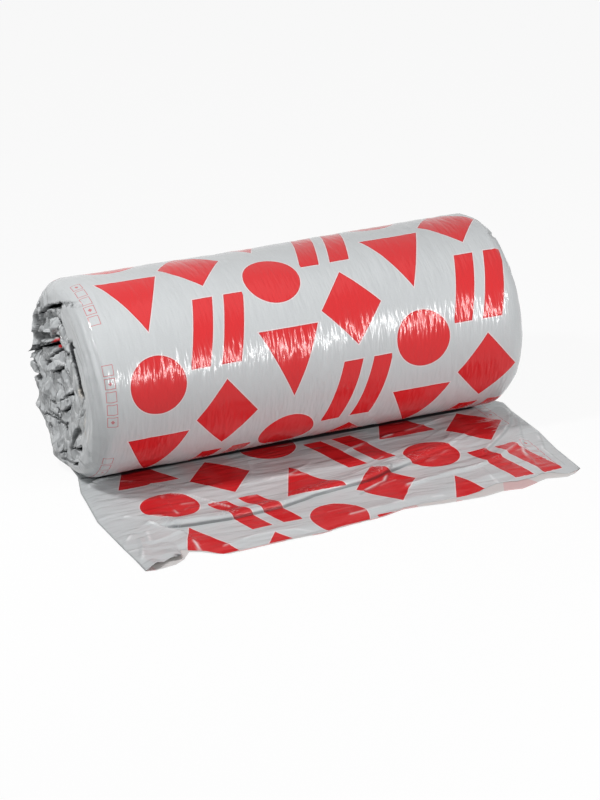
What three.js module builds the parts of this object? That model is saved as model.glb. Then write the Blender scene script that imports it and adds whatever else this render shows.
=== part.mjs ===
// A roll of stone wool insulation: a mat wound up in printed film, whose empty end lies out in front.
// Millimetres, +Z up. The roll lies along X, and the origin is on the floor below the middle of its axis.
import * as THREE from "three";

// Wool mat
const matWidth = 1000; // along the roll's axis, at the outer turn
const matRadius = 217.8; // wound up and pressed together
const turnThickness = 57; // of one turn
const boreRadius = 24; // left open in the first turn
const matShoulder = 22; // rounding of the mat's outer edges
const turnGrooveDepth = 6;

// Ends, where the outer turn stands proud and the film has drawn the inner ones in
const drawDepth = 18;
const drawRadius = 165; // from the middle of the drawn-in patch to the foot of the outer turn
const drawShift = 24; // that middle lies so far behind the roll's axis
const drawBand = 30; // over which the end slopes down

// Film round the roll
const filmClearance = 0.5; // mat to film round the body
const endClearance = 1.5; // mat to film on the ends
const filmWall = 2; // the outer layers of film, taken together
const rimCover = 7; // gathered film over the outer turn of an end
const crumpleDepth = 9; // of the crushed film, down into the valley between two turns
const pleatCount = 16; // folds that run in towards the bore
const pleatShare = 0.4; // a pleat's depth against a valley's
const pleatTwist = 0.01; // radians that a pleat turns for each millimetre it runs inwards
const endOpeningRadius = 3; // where the folds of an end meet over the bore
const waist = 3; // how much slimmer the roll is in the middle

// Main folds of the crushed film: Y, and Z over the axis, of the points along the bottom of each
const endFoldDepth = 18;
const endFoldHalfWidth = 19;
const endFoldTurn = 2.2; // radians by which the folds on the end at +X are turned against those at -X
const endFolds = [
  [[114, 115], [82, 139], [42, 160], [-1, 175]],
  [[40, 140], [-22, 130], [-58, 110], [-84, 71], [-129, 18]],
  [[203, -15], [151, 13], [78, 52], [24, 81]],
  [[66, 76], [45, 90], [0, 83], [-37, 78]],
  [[100, -19], [38, 6], [-21, 37]],
  [[66, -77], [26, -79]],
  [[106, -125], [39, -114], [-13, -109]],
  [[-42, -146], [-105, -117]],
];

// Empty end of the film, flattened to two layers
const tailWidth = 1064; // across its front edge, half way round the film's tube
const tailThickness = 2.4; // two layers with air between
const tailLengthLeft = 515; // from below the roll's axis to the front edge
const tailLengthRight = 455;
const tailTuck = 30; // behind the axis, in the patch that the roll presses flat
const tailFlat = 90; // in front of the axis, where the film lies flat
const tailFlatFade = 110; // over which its waves grow to their full height
const foldHeight = 12; // the long fold across the tail
const foldHalfWidth = 26;
const foldDistance = 335; // in front of the axis, along its straight stretch
const foldBendStart = -100; // X, right of which the fold turns towards the roll
const foldBend = 6e-4; // how fast it turns, in mm of Y for each square mm of X
const rippleHeight = 4;
const rippleLength = 170;

// How the roll rests
const restClearance = 0.3; // film to film under the roll
const sag = 1.5; // how far the film flattens where it carries the roll

// Sizes of the mesh
const roundSteps = 56; // round the roll
const ringsPerTurn = 5; // of an end, for each turn of the mat
const shoulderSteps = 3;
const bodySteps = 6;
const tailStepsAcross = 36;
const tailStepsLong = 18;

// What follows from them
const rollRadius = matRadius + filmClearance + filmWall;
const innerHalf = matWidth / 2 + endClearance; // inside face of the film on an end
const outerHalf = innerHalf + filmWall + rimCover;
const rimShoulder = matShoulder + filmClearance + filmWall;
const axisHeight = tailThickness + restClearance + rollRadius - sag;
const foldLines = endFolds.flatMap((fold) => straightStretches(fold));

const filmMaterial = new THREE.MeshStandardMaterial({ color: 0xc5c8cb, roughness: 0.38, metalness: 0.1 });
const tailMaterial = filmMaterial.clone();
const woolMaterial = new THREE.MeshStandardMaterial({ color: 0xa89a62, roughness: 1, metalness: 0 });

function smoothStep(value) {
  return THREE.MathUtils.smoothstep(value, 0, 1);
}

// Each straight stretch between two neighbours in a list of points across an end.
function straightStretches(points) {
  const corners = points.map(([y, z]) => new THREE.Vector3(0, y, z));
  return corners.slice(1).map((corner, index) => new THREE.Line3(corners[index], corner));
}

// Quarter-circle edge of a roll's half section, as points from its end face at +X round to its body.
function shoulderPoints(radius, half, rounding) {
  const points = [];
  for (let step = 0; step <= shoulderSteps; step += 1) {
    const angle = (step / shoulderSteps) * (Math.PI / 2);
    const across = radius - rounding + rounding * Math.sin(angle);
    points.push(new THREE.Vector2(across, half - rounding + rounding * Math.cos(angle)));
  }
  return points;
}

// Points along the body between two shoulders, slimmer by the waist in the middle.
function bodyPoints(radius, straightHalf) {
  const points = [];
  for (let step = 1; step < bodySteps; step += 1) {
    const along = straightHalf * ((2 * step) / bodySteps - 1);
    points.push(new THREE.Vector2(radius - waist * (1 - (along / straightHalf) ** 2), along));
  }
  return points;
}

// Half section of a roll, from the bore at -X over the body to the bore at +X. The face points lie on each
// end face, from the bore outwards.
function rollOutline(radius, half, rounding, facePoints) {
  const end = [...facePoints, ...shoulderPoints(radius, half, rounding)];
  const farEnd = end.map((point) => new THREE.Vector2(point.x, -point.y));
  return [...farEnd, ...bodyPoints(radius, half - rounding), ...end.reverse()];
}

// A closed half section turned about X. Angles count from the top towards the front.
function turned(outline) {
  const geometry = new THREE.LatheGeometry([...outline, outline[0]], roundSteps);
  geometry.rotateZ(-Math.PI / 2);
  return geometry;
}

// Moves each vertex by a function that changes the Vector3 it is given, and may read the vertex's index.
function displace(geometry, move) {
  const position = geometry.getAttribute("position");
  const vertex = new THREE.Vector3();
  for (let index = 0; index < position.count; index += 1) {
    vertex.fromBufferAttribute(position, index);
    move(vertex, index);
    position.setXYZ(index, vertex.x, vertex.y, vertex.z);
  }
  geometry.computeVertexNormals();
  return geometry;
}

// Radii of the rings that an end of the mat and both faces of the film over it share, from the bore outwards.
function endRings() {
  const ringStep = turnThickness / ringsPerTurn;
  const rings = [boreRadius];
  const count = Math.floor((matRadius - boreRadius) / ringStep - 0.5);
  for (let ring = count; ring * ringStep > matShoulder + ringStep / 2; ring -= 1) {
    rings.push(matRadius - ring * ringStep);
  }
  return rings;
}

// How far an end is drawn in at a place across it: 0 on the outer turn, 1 inside the foot of that turn.
function drawnShare(y, z) {
  const fromMiddle = Math.hypot(y - drawShift, z);
  return smoothStep((drawRadius - fromMiddle) / drawBand + 0.5);
}

// The mat: one turned solid with its bore, its inner turns drawn in. Grooves between its turns ring the ends.
function woolMatGeometry() {
  const half = matWidth / 2;
  const facePoints = endRings().map((radius) => {
    const turn = (matRadius - radius) / turnThickness;
    const isGroove = Math.abs(turn - Math.round(turn)) * ringsPerTurn < 0.5;
    return new THREE.Vector2(radius, isGroove ? half - turnGrooveDepth : half);
  });
  const geometry = turned(rollOutline(matRadius, half, matShoulder, facePoints).reverse());
  // Turned backwards and with each face flipped, it is split along the same diagonals as the film's inside.
  geometry.index.array.reverse();
  return displace(geometry, (vertex) => {
    vertex.x -= Math.sign(vertex.x) * drawDepth * drawnShare(vertex.y, vertex.z);
  });
}

// How deep the crushed film lies at a place across an end, from 0 at its top to 1 in the valley between two
// turns. They wind inwards from the bottom, by the back and the top, and so does that valley.
function valleyShare(y, z) {
  const radius = Math.hypot(y, z);
  const angle = Math.atan2(-y, z);
  const turn = (rollRadius - radius) / turnThickness - (angle - Math.PI) / (2 * Math.PI);
  const valley = 1 - Math.abs(Math.sin(Math.PI * turn));
  const pleat = 0.5 + 0.5 * Math.sin(pleatCount * (angle + pleatTwist * radius));
  return Math.max(valley, pleatShare * pleat);
}

// How deep a main fold is at a place across an end, from 0 beside the folds to 1 at the bottom of one.
function foldShare(y, z) {
  const place = new THREE.Vector3(0, y, z);
  const nearest = new THREE.Vector3();
  let distance = Infinity;
  for (const line of foldLines) {
    line.closestPointToPoint(place, true, nearest);
    distance = Math.min(distance, nearest.distanceTo(place));
  }
  return smoothStep(1 - distance / endFoldHalfWidth);
}

// How far the crushed film lies inside the rim at a vertex of an end. It keeps its wall over the mat.
function crushedDepth(vertex) {
  const turn = vertex.x > 0 ? endFoldTurn : 0;
  const y = vertex.y * Math.cos(turn) + vertex.z * Math.sin(turn);
  const z = vertex.z * Math.cos(turn) - vertex.y * Math.sin(turn);
  const valley = crumpleDepth * valleyShare(vertex.y, vertex.z);
  return Math.min(valley + endFoldDepth * foldShare(y, z), rimCover + drawDepth);
}

// The film round the mat: a thin wall, drawn in with the mat's ends, crushed over them and open at the bore.
function filmWrapGeometry() {
  const radii = [endOpeningRadius, ...endRings()];
  const outerFace = radii.map((radius) => new THREE.Vector2(radius, outerHalf));
  const innerFace = radii.map((radius) => new THREE.Vector2(radius, innerHalf));
  const outside = rollOutline(rollRadius, outerHalf, rimShoulder, outerFace);
  const inside = rollOutline(rollRadius - filmWall, innerHalf, rimShoulder - filmWall, innerFace);
  const outline = [...outside, ...inside.reverse()];
  return displace(turned(outline), (vertex, index) => {
    const place = index % (outline.length + 1);
    const isOutside = place % outline.length < outside.length;
    const depth = isOutside ? crushedDepth(vertex) : drawDepth;
    vertex.x -= Math.sign(vertex.x) * depth * drawnShare(vertex.y, vertex.z);
    if (isOutside) {
      vertex.z = Math.max(vertex.z, sag - rollRadius);
    }
  });
}

// Height of the tail's underside above the floor.
function tailLift(x, y) {
  const grown = smoothStep((-y - tailFlat) / tailFlatFade);
  const bent = Math.max(0, x - foldBendStart);
  const toFold = (y + foldDistance - foldBend * bent ** 2) / foldHalfWidth;
  const ripple = 1 + Math.sin((2 * Math.PI * (x + 0.6 * y)) / rippleLength);
  return grown * (foldHeight * Math.exp(-(toFold ** 2)) + (rippleHeight / 2) * ripple);
}

// The film's empty end: flat below the roll, then out over the floor to its front edge.
function filmTailGeometry() {
  const geometry = new THREE.BoxGeometry(1, 1, 1, tailStepsAcross, tailStepsLong, 1);
  const widthAtRoll = 2 * outerHalf;
  return displace(geometry, (vertex) => {
    const toFront = 0.5 - vertex.y;
    const length = THREE.MathUtils.lerp(tailLengthLeft, tailLengthRight, vertex.x + 0.5);
    const spread = smoothStep((2 * (toFront * (length + tailTuck) - tailTuck)) / length);
    const isTop = vertex.z > 0;
    vertex.x *= THREE.MathUtils.lerp(widthAtRoll, tailWidth, spread);
    vertex.y = tailTuck - toFront * (length + tailTuck);
    vertex.z = tailLift(vertex.x, vertex.y) + (isTop ? tailThickness : 0);
  });
}

function namedMesh(name, geometry, material, height) {
  const mesh = new THREE.Mesh(geometry, material);
  mesh.name = name;
  mesh.position.z = height;
  return mesh;
}

const insulationRoll = new THREE.Group();
insulationRoll.add(namedMesh("wool_mat", woolMatGeometry(), woolMaterial, axisHeight));
insulationRoll.add(namedMesh("film_wrap", filmWrapGeometry(), filmMaterial, axisHeight));
insulationRoll.add(namedMesh("film_tail", filmTailGeometry(), tailMaterial, 0));

export default insulationRoll;
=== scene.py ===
"""A roll of stone wool insulation, wound up in printed silver-grey film.

Laid out as an add-on with one operator for each piece. All lengths are metres, +Z is up, the roll lies
along X and the origin is on the floor below the middle of its axis. Angles round the roll count from its
top towards its front, which faces -Y.
"""

import math

import bpy
import numpy as np
from bpy.props import FloatProperty, FloatVectorProperty, IntProperty, PointerProperty
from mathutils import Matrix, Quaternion, Vector


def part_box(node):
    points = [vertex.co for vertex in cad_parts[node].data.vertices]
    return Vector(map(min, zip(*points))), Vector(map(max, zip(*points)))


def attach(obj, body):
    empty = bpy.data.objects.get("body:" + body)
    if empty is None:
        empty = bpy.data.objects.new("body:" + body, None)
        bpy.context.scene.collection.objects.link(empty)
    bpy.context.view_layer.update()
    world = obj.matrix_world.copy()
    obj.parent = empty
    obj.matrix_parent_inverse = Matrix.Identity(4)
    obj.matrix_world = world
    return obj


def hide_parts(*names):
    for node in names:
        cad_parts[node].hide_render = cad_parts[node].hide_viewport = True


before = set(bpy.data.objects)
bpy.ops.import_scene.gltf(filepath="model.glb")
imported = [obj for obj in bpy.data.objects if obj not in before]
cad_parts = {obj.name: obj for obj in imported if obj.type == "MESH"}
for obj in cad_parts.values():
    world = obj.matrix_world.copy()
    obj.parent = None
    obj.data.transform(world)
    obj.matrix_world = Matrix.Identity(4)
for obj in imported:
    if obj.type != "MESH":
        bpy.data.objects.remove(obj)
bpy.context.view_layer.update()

bl_info = {
    "name": "Insulation Roll",
    "version": (1, 0, 0),
    "blender": (4, 5, 0),
    "location": "View3D > Sidebar > Insulation",
    "description": "Builds a film-wrapped roll of stone wool insulation with its loose film end",
    "category": "Add Mesh",
}

WRAP_LOW, WRAP_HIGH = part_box("film_wrap")
MAT_LOW, MAT_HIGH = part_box("wool_mat")
TAIL_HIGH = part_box("film_tail")[1]
ROLL_RADIUS = (WRAP_HIGH[1] - WRAP_LOW[1]) / 2
AXIS_HEIGHT = WRAP_HIGH[2] - ROLL_RADIUS
HALF_LENGTH = (WRAP_HIGH[0] - WRAP_LOW[0]) / 2
MAT_RADIUS = (MAT_HIGH[1] - MAT_LOW[1]) / 2


class RollSizes(bpy.types.PropertyGroup):
    """Sizes of the wound-up roll."""

    radius: FloatProperty(
        name="Radius", description="Radius of the wrapped roll", default=ROLL_RADIUS, unit="LENGTH"
    )
    half_length: FloatProperty(
        name="Half length", description="Middle of the roll to the rim of an end",
        default=HALF_LENGTH, unit="LENGTH",
    )
    shoulder: FloatProperty(
        name="Shoulder", description="Rounding between the body and an end", default=0.042, unit="LENGTH"
    )
    waist: FloatProperty(
        name="Waist", description="How much slimmer the roll is in the middle", default=0.003, unit="LENGTH"
    )
    turn: FloatProperty(
        name="Turn", description="Thickness of one wound turn", default=0.057, unit="LENGTH"
    )
    turns: FloatProperty(name="Turns", description="How often the mat goes round", default=3.4)
    columns: IntProperty(
        name="Columns", description="Steps of the film's mesh round the body, a multiple of four", default=176
    )
    rows: IntProperty(name="Rows", description="Steps of the film's mesh along the body", default=230)


class TailSizes(bpy.types.PropertyGroup):
    """Sizes of the film's empty end."""

    tuck: FloatProperty(
        name="Tuck", description="How far the loose film reaches behind the axis",
        default=TAIL_HIGH[1], unit="LENGTH",
    )
    gap: FloatProperty(
        name="Layer gap", description="Air between the film's two layers", default=0.0022, unit="LENGTH"
    )
    film: FloatProperty(
        name="Film", description="Thickness of one layer of film", default=0.0004, unit="LENGTH"
    )
    fold_height: FloatProperty(
        name="Fold height", description="Height of the long fold across the film",
        default=0.013, unit="LENGTH",
    )


class FilmColours(bpy.types.PropertyGroup):
    """Colours of the film, its print and the wool."""

    silver: FloatVectorProperty(
        name="Silver", description="Unprinted film", subtype="COLOR", default=(0.56, 0.58, 0.59)
    )
    red: FloatVectorProperty(
        name="Red", description="Printed film", subtype="COLOR", default=(0.68, 0.022, 0.026)
    )
    halo: FloatVectorProperty(
        name="Halo", description="Pale line round the print", subtype="COLOR", default=(0.80, 0.66, 0.67)
    )
    inside: FloatVectorProperty(
        name="Inside", description="Back of the film", subtype="COLOR", default=(0.60, 0.58, 0.57)
    )
    wool: FloatVectorProperty(
        name="Wool", description="Stone wool", subtype="COLOR", default=(0.36, 0.30, 0.15)
    )


# ---------------------------------------------------------------- noise and small formulas

# Large odd numbers that scatter the lattice's values by column, row and seed, and once more at the end.
COLUMN_SCATTER = 374761393
ROW_SCATTER = 668265263
SEED_SCATTER = 974634777
LAST_SCATTER = 1274126177

# The square root of three less one, halved: it turns a lattice of squares into one of even triangles.
TRIANGLE_SKEW = 0.3660254


def ramp(value, low, high):
    """0 below low, 1 above high, and an eased cubic in between."""
    share = np.clip((value - low) / (high - low), 0, 1)
    return share * share * (3 - 2 * share)


def bell(value, centre, width):
    """A bell curve: 1 at the centre and 0.37 one width away from it."""
    return np.exp(-(((value - centre) / width) ** 2))


def lattice(column, row, seed, wrap=None):
    """A fixed random value from -1 to 1 for each whole-numbered lattice point.

    Column, row and seed are multiplied by large numbers and added up, and the sum's bits are shifted over
    each other. With wrap, the rows repeat after that many.
    """
    if wrap:
        row = np.mod(row, wrap)
    mixed = column.astype(np.int64) * COLUMN_SCATTER + row.astype(np.int64) * ROW_SCATTER
    mixed = mixed + seed * SEED_SCATTER
    mixed = (mixed ^ (mixed >> 13)) & 0xFFFFFFFF
    mixed = (mixed * LAST_SCATTER) & 0xFFFFFFFF
    mixed = (mixed ^ (mixed >> 16)) & 0xFFFF
    return mixed / 32767.5 - 1


def soft_noise(x, y, seed, wrap=None):
    """Random lattice values blended with an eased curve. With wrap, y repeats after that many cells."""
    column, row = np.floor(x), np.floor(y)
    across, along = ramp(x - column, 0, 1), ramp(y - row, 0, 1)

    def blended(line):
        """The values of one row of the lattice, blended over each cell's width."""
        left, right = lattice(column, line, seed, wrap), lattice(column + 1, line, seed, wrap)
        return left * (1 - across) + right * across

    return blended(row) * (1 - along) + blended(row + 1) * along


def facet_noise(x, y, seed):
    """Random heights on a lattice of triangles, flat inside each, with creases along their sides.

    A point's height is the mean of its triangle's three corners, each weighed by how near it is.
    """
    skew = (x + y) * TRIANGLE_SKEW
    column, row = np.floor(x + skew), np.floor(y + skew)
    across, along = x + skew - column, y + skew - row
    lower = across > along
    corner_column = np.where(lower, column + 1, column)
    corner_row = np.where(lower, row, row + 1)
    most, least = np.maximum(across, along), np.minimum(across, along)
    start = lattice(column, row, seed)
    corner = lattice(corner_column, corner_row, seed)
    end = lattice(column + 1, row + 1, seed)
    return start * (1 - most) + corner * (most - least) + end * least


# The layers of crushed film, coarse to fine: how far each is turned against the first, its cells for each
# length of the first's, and its share in the height.
FACET_LAYERS = ((0.0, 1.0, 1.0), (-1.0, 1.5, 0.35), (0.4, 3.8, 0.06))

# How far, in sizes of the first layer's facets, the places are bent before that, and how long a bend is.
BEND_SHARE = 0.25
BEND_LENGTH = 1.5


def crumple(x, y, size, seed):
    """Crushed film: layers of facets, each about half the size of the one before and turned against it.

    The places are first bent by a soft noise, so that the creases between the facets aren't quite straight.
    """
    cell_x, cell_y = x / size / BEND_LENGTH, y / size / BEND_LENGTH
    bend_x = x + BEND_SHARE * size * soft_noise(cell_x, cell_y, seed + 1)
    bend_y = y + BEND_SHARE * size * soft_noise(cell_x, cell_y, seed + 2)
    height = 0.0
    for number, (turn, cells, share) in enumerate(FACET_LAYERS):
        across, along = (bend_x - turn * bend_y) / size * cells, (bend_y + turn * bend_x) / size * cells
        height = height + share * facet_noise(across, along, seed + 3 + number)
    return height


def nearest_on_line(x, y, points):
    """Distance to a line of points, its side as +1 left or -1 right, how far past its ends, the direction
    away from it, and how far along it, from 0 to 1.

    Each point is dropped at a right angle on every straight run, held between the run's ends, and the
    nearest run counts.
    """
    points = np.asarray(points, float)
    start, run = points[:-1], points[1:] - points[:-1]
    from_x = x[..., None] - start[:, 0]
    from_y = y[..., None] - start[:, 1]
    along = (from_x * run[:, 0] + from_y * run[:, 1]) / (run**2).sum(1)
    held = np.clip(along, 0, 1)
    gap_x, gap_y = from_x - held * run[:, 0], from_y - held * run[:, 1]
    distance = np.hypot(gap_x, gap_y)
    nearest = distance.argmin(-1)[..., None]
    distance = np.take_along_axis(distance, nearest, -1)[..., 0]
    turn = np.take_along_axis(run[:, 0] * from_y - run[:, 1] * from_x, nearest, -1)[..., 0]
    length = np.hypot(run[:, 0], run[:, 1])
    before = np.where(nearest[..., 0] == 0, np.maximum(-along[..., 0] * length[0], 0), 0)
    after = np.where(nearest[..., 0] == len(run) - 1, np.maximum((along[..., -1] - 1) * length[-1], 0), 0)
    off = np.stack([np.take_along_axis(gap, nearest, -1)[..., 0] for gap in (gap_x, gap_y)], -1)
    off /= np.maximum(distance, 1e-6)[..., None]
    share = (nearest[..., 0] + np.take_along_axis(held, nearest, -1)[..., 0]) / len(run)
    return distance, np.where(turn >= 0, 1.0, -1.0), np.maximum(before, after), off, share


# ---------------------------------------------------------------- meshes


def grid_faces(rows, columns, closed):
    """Corner numbers of a grid's quads, row by row. A closed grid joins its last column to its first."""
    steps = columns if closed else columns - 1
    row, column = np.meshgrid(np.arange(rows - 1), np.arange(steps), indexing="ij")
    here, beyond = row * columns, (row + 1) * columns
    after = (column + 1) % columns
    return np.stack([here + column, here + after, beyond + after, beyond + column], -1).reshape(-1, 4)


def new_piece(name, points, faces, corner_uv, materials):
    """A smooth mesh object at the origin from points and faces. For film, corner_uv gives each corner of a
    face its place on the film, in metres.
    """
    mesh = bpy.data.meshes.new(name)
    mesh.from_pydata(np.asarray(points, float).tolist(), [], faces)
    mesh.shade_smooth()
    if corner_uv is not None:
        layer = mesh.uv_layers.new(name="film")
        layer.data.foreach_set("uv", np.ascontiguousarray(corner_uv, np.float32).ravel())
    for material in materials:
        mesh.materials.append(material)
    mesh.validate()
    piece = bpy.data.objects.new(name, mesh)
    bpy.context.scene.collection.objects.link(piece)
    return piece


def add_values(piece, name, values):
    """One number for each point of a piece, which its material reads by that name."""
    layer = piece.data.attributes.new(name, "FLOAT", "POINT")
    layer.data.foreach_set("value", np.ascontiguousarray(values, np.float32).ravel())


# ---------------------------------------------------------------- film round the roll

# How far the wound wool's ends are set in from the film's rims in the middle, and how much less outside.
WOOL_INSET = 0.075
WOOL_CONE = 0.035

# Inner edge of the smooth outer turn on the crumpled end, as points (y, height over the floor). The film
# inside it is crushed and lies a little deeper.
OUTER_TURN_EDGE = (
    (0.181, 0.271), (0.156, 0.296), (0.125, 0.327), (0.118, 0.342), (0.086, 0.366), (0.045, 0.387),
    (0.001, 0.403), (-0.005, 0.368), (-0.024, 0.358), (-0.043, 0.347), (-0.063, 0.336), (-0.075, 0.314),
    (-0.090, 0.296), (-0.106, 0.271), (-0.120, 0.253), (-0.134, 0.243), (-0.140, 0.216), (-0.139, 0.179),
    (-0.131, 0.155), (-0.114, 0.132), (-0.102, 0.109), (-0.098, 0.077), (-0.082, 0.056), (-0.036, 0.042),
    (0.005, 0.034), (0.062, 0.030), (0.103, 0.052), (0.144, 0.089), (0.181, 0.118), (0.195, 0.159),
    (0.197, 0.216), (0.189, 0.249), (0.181, 0.271),
)

# Middle of the smooth band of the second turn, which the crushed film leaves free, and half its width.
SMOOTH_BAND = (
    (-0.053, 0.300), (-0.076, 0.259), (-0.088, 0.214), (-0.082, 0.172), (-0.058, 0.128), (-0.026, 0.084),
)
SMOOTH_BAND_HALF = 0.034

# Folds of the crushed film there: the points that a fold's lip follows, how far the film drops beside the
# lip, over which width it comes back at the first and the last point, how far the lip stands proud, and how
# dark the shade is that is painted where the film drops, on wide folds over the facet beside the lip. The
# film drops on the left-hand side of the points' direction. The last three are faint dents in the outer turn.
END_FOLDS = (
    (((0.118, 0.342), (0.086, 0.366), (0.045, 0.387), (0.001, 0.403)), 0.040, (0.008, 0.016), 0.003, 1.0),
    (((0.185, 0.265), (0.156, 0.296), (0.125, 0.327), (0.118, 0.342)), 0.012, (0.012, 0.020), 0.002, 0.4),
    (((0.126, 0.348), (0.136, 0.324), (0.148, 0.302), (0.164, 0.286)), 0.024, (0.014, 0.026), 0.002, 0.55),
    (((0.039, 0.368), (0.002, 0.361), (-0.024, 0.358), (-0.043, 0.347), (-0.063, 0.336), (-0.092, 0.335)),
     0.030, (0.014, 0.006), 0.001, 1.0),
    (((-0.080, 0.332), (-0.087, 0.316), (-0.098, 0.291), (-0.112, 0.267), (-0.123, 0.252), (-0.136, 0.239)),
     0.030, (0.044, 0.014), 0.0, 0.9),
    (((-0.039, 0.081), (-0.061, 0.091), (-0.082, 0.099), (-0.102, 0.110)), 0.034, (0.006, 0.014), 0.004, 1.0),
    (((-0.041, 0.082), (-0.057, 0.114), (-0.075, 0.139), (-0.093, 0.150)),
     0.012, (0.010, 0.022), 0.002, 0.55),
    (((0.206, 0.212), (0.154, 0.240), (0.122, 0.260), (0.081, 0.279), (0.048, 0.296), (0.027, 0.308)),
     0.026, (0.005, 0.012), 0.017, 1.0),
    (((0.048, 0.296), (0.081, 0.279), (0.122, 0.260), (0.154, 0.240), (0.206, 0.212)),
     0.003, (0.003, 0.010), 0.0, 0.8),
    (((0.060, 0.296), (0.085, 0.287), (0.122, 0.269), (0.154, 0.249), (0.170, 0.240)),
     0.022, (0.008, 0.030), 0.0, 0.6),
    (((0.022, 0.279), (0.056, 0.246), (0.086, 0.216)), 0.020, (0.010, 0.020), 0.002, 0.75),
    (((0.133, 0.246), (0.118, 0.229), (0.106, 0.212)), 0.018, (0.010, 0.016), 0.002, 0.75),
    (((0.054, 0.346), (0.074, 0.336), (0.094, 0.326)), 0.010, (0.018, 0.022), 0.002, 0.35),
    (((0.070, 0.303), (0.046, 0.318), (0.027, 0.314), (-0.001, 0.311), (-0.038, 0.306)),
     0.036, (0.010, 0.016), 0.004, 1.0),
    (((0.118, 0.273), (0.091, 0.288), (0.066, 0.306), (0.046, 0.320)), 0.012, (0.004, 0.008), 0.003, 0.55),
    (((0.103, 0.209), (0.078, 0.218), (0.041, 0.233), (0.021, 0.249), (-0.018, 0.264)),
     0.030, (0.006, 0.013), 0.007, 1.0),
    (((0.019, 0.176), (-0.001, 0.189), (-0.018, 0.199), (-0.033, 0.210)), 0.026, (0.005, 0.010), 0.004, 1.0),
    (((0.005, 0.151), (-0.008, 0.158), (-0.023, 0.173)), 0.028, (0.005, 0.011), 0.004, 1.0),
    (((0.142, 0.154), (0.100, 0.148), (0.064, 0.141), (0.037, 0.125)), 0.020, (0.005, 0.012), 0.003, 0.9),
    (((0.066, 0.151), (0.048, 0.148), (0.026, 0.149)), 0.038, (0.010, 0.024), 0.004, 0.9),
    (((0.095, 0.115), (0.044, 0.121), (-0.012, 0.128)), 0.018, (0.004, 0.008), 0.004, 0.8),
    (((0.107, 0.103), (0.089, 0.108), (0.040, 0.114), (-0.012, 0.119)), 0.024, (0.005, 0.011), 0.004, 1.0),
    (((0.180, 0.108), (0.154, 0.100), (0.123, 0.101), (0.096, 0.092), (0.084, 0.086)),
     0.014, (0.006, 0.014), 0.008, 0.6),
    (((0.013, 0.047), (0.001, 0.056), (-0.012, 0.062)), 0.020, (0.003, 0.007), 0.003, 0.9),
    (((0.003, 0.036), (-0.024, 0.044), (-0.057, 0.050), (-0.075, 0.056)), 0.022, (0.004, 0.009), 0.003, 1.0),
    (((0.203, 0.198), (0.183, 0.209), (0.156, 0.211), (0.144, 0.198), (0.141, 0.182)),
     0.020, (0.009, 0.020), 0.004, 0.9),
    (((0.150, 0.160), (0.170, 0.157), (0.192, 0.155)), 0.018, (0.016, 0.024), 0.002, 0.7),
    (((-0.147, 0.132), (-0.163, 0.119), (-0.157, 0.099)), 0.007, (0.006, 0.012), 0.001, 0.15),
    (((-0.089, 0.074), (-0.124, 0.072), (-0.159, 0.091)), 0.004, (0.006, 0.010), 0.001, 0.1),
    (((-0.104, 0.047), (-0.141, 0.073)), 0.004, (0.006, 0.010), 0.001, 0.1),
)

# Middle of the dusty streak on the outer turn of that end, and its width.
DUSTY_STREAK = ((-0.105, 0.248), (-0.125, 0.218), (-0.130, 0.185), (-0.150, 0.155))
DUSTY_WIDTH = 0.011

# Middle (y, height) and widths of the pocket in which a bit of print shows.
PRINTED_POCKET = (0.026, 0.296)
PRINTED_POCKET_WIDTHS = (0.024, 0.012)

# Loose film that stands out of that end's rim: angle from the top towards the back and width, both in
# degrees, and how far.
RIM_BULGES = ((103.0, 12.0, 0.006), (128.0, 7.0, 0.008), (143.0, 12.0, 0.003), (166.0, 13.0, 0.014))

# Size of the crushed film's largest facets, how deep they go at the bottom of an end, how much deeper at its
# top, and how much deeper than the outer turn the crushed film lies.
FACET_SIZE = 0.034
FACET_DEPTH = 0.007
FACET_DEPTH_MORE = 0.006
CRUSHED_SINK = 0.005

# Length over which a fold of an end runs out at its ends, and how far its lip leans over at most.
FOLD_FADE = 0.008
LIP_LEAN = 0.004

# How far an end's film may come out of its plain face, and the room that it leaves to the wool inside it.
MOST_PROUD = 0.024
WOOL_ROOM = 0.004

# The right end has the left end's folds, turned about the axis by this angle.
RIGHT_END_SPIN = 2.2

# Radius inside which an end's small random folds have their middles.
SMALL_FOLDS_REACH = 0.19


def small_folds(count, seed):
    """Short random folds over an end, in the form of END_FOLDS.

    Their middles lie evenly over the face, and their direction turns round it, give or take some. They are
    slightly bent, and their widths, lip and the darkness of their painted shade grow with the drop.
    """
    chance = np.random.default_rng(seed)
    radius = SMALL_FOLDS_REACH * np.sqrt(chance.uniform(0.01, 1, count))
    around = chance.uniform(0, 2 * np.pi, count)
    heading = around + chance.normal(1.4, 0.8, count)
    half = chance.uniform(0.018, 0.046, count)
    bent = chance.uniform(-0.006, 0.006, count)
    share = np.array([-1.0, 0.0, 1.0])[None, :]
    along, off = half[:, None] * share, bent[:, None] * (1 - share**2)
    ahead, aside = np.cos(heading)[:, None], np.sin(heading)[:, None]
    y = (radius * np.sin(around))[:, None] + along * ahead - off * aside
    up = (radius * np.cos(around))[:, None] + along * aside + off * ahead
    lines = np.stack([y, AXIS_HEIGHT + up], -1)
    drops = chance.uniform(0.006, 0.016, count)
    return tuple(
        (line, drop, (0.16 * drop + 0.002, 0.35 * drop + 0.004), 0.25 * drop, drop / 0.020)
        for line, drop in zip(lines, drops)
    )


SMALL_FOLDS = small_folds(24, 5)


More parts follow.
